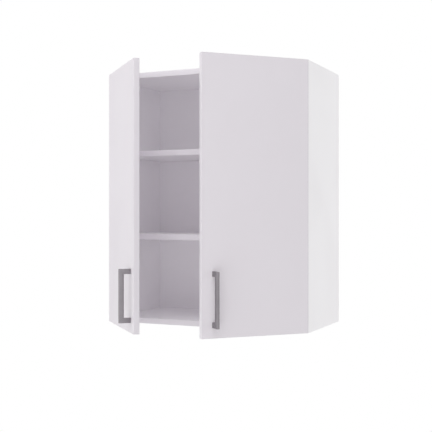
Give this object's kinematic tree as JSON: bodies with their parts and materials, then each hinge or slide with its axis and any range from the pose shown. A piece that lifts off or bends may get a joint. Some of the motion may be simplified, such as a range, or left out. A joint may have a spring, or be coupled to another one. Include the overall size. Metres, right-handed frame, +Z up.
{
  "type": "wall cabinet",
  "caption": "Wall-hung kitchen cabinet with hinged doors on concealed cup hinges, bow handles, fixed shelves and keyhole hanger plates",
  "frame": {"origin": "midway between the entry holes of the two keyhole hangers, on the plane of the wall", "axes": "+X to the right of someone facing the doors, +Y into the wall, +Z up"},
  "size_m": [0.6078, 0.508, 0.72],
  "materials": {
    "white_board": "white melamine faced board",
    "back_board": "white faced hardboard",
    "edge_band": "white edge band",
    "handle_metal": "satin grey metal",
    "hardware_steel": "nickel plated steel",
    "cam_metal": "die cast",
    "dowel_wood": "raw beech",
    "bumper": "clear soft plastic"
  },
  "bodies": {
    "carcass": {"left_side_panel": "white_board", "right_side_panel": "white_board", "left_side_edging": "edge_band", "right_side_edging": "edge_band", "bottom_panel": "white_board", "bottom_edging": "edge_band", "top_panel": "white_board", "top_edging": "edge_band", "back_panel": "back_board", "lower_shelf": "white_board", "lower_shelf_edging": "edge_band", "lower_shelf_pins": "hardware_steel", "upper_shelf": "white_board", "upper_shelf_edging": "edge_band", "upper_shelf_pins": "hardware_steel", "dowels": "dowel_wood", "cam_locks": "cam_metal", "cam_bolts": "hardware_steel", "left_hanger_plate": "hardware_steel", "right_hanger_plate": "hardware_steel", "hanger_screws": "hardware_steel", "left_upper_hinge_plate": "hardware_steel", "left_upper_hinge_arm": "hardware_steel", "left_lower_hinge_plate": "hardware_steel", "left_lower_hinge_arm": "hardware_steel", "right_upper_hinge_plate": "hardware_steel", "right_upper_hinge_arm": "hardware_steel", "right_lower_hinge_plate": "hardware_steel", "right_lower_hinge_arm": "hardware_steel", "hinge_plate_screws": "hardware_steel", "hinge_arm_screws": "hardware_steel", "hinge_link_pins": "hardware_steel"},
    "left_door": {"left_door": "white_board", "left_door_edging": "edge_band", "left_handle": "handle_metal", "left_handle_screws": "hardware_steel", "left_door_bumpers": "bumper", "left_cup_screws": "hardware_steel", "left_upper_hinge_cup": "hardware_steel", "left_lower_hinge_cup": "hardware_steel"},
    "left_hinge_links": {"left_upper_hinge_link": "hardware_steel", "left_lower_hinge_link": "hardware_steel"},
    "right_door": {"right_door": "white_board", "right_door_edging": "edge_band", "right_handle": "handle_metal", "right_handle_screws": "hardware_steel", "right_door_bumpers": "bumper", "right_cup_screws": "hardware_steel", "right_upper_hinge_cup": "hardware_steel", "right_lower_hinge_cup": "hardware_steel"},
    "right_hinge_links": {"right_upper_hinge_link": "hardware_steel", "right_lower_hinge_link": "hardware_steel"}
  },
  "joints": [
    {"name": "left_door_hinge", "type": "hinge", "parent": "carcass", "child": "left_door", "pos_m": [-0.295, -0.289, -0.325], "axis": [0, 0, -1], "range_deg": [-46, 54]},
    {"name": "left_link_swing", "type": "hinge", "parent": "carcass", "child": "left_hinge_links", "pos_m": [-0.269, -0.2885, -0.325], "axis": [0, 0, -1], "range_deg": [-18, 15]},
    {"name": "right_door_hinge", "type": "hinge", "parent": "carcass", "child": "right_door", "pos_m": [0.295, -0.289, -0.325], "axis": [0, 0, 1], "range_deg": [-46, 54]},
    {"name": "right_link_swing", "type": "hinge", "parent": "carcass", "child": "right_hinge_links", "pos_m": [0.269, -0.2885, -0.325], "axis": [0, 0, 1], "range_deg": [-18, 15]}
  ],
  "couplings": [
    {"joint": "left_link_swing", "follows": "left_door_hinge", "ratio": -0.317},
    {"joint": "right_link_swing", "follows": "right_door_hinge", "ratio": -0.317}
  ]
}
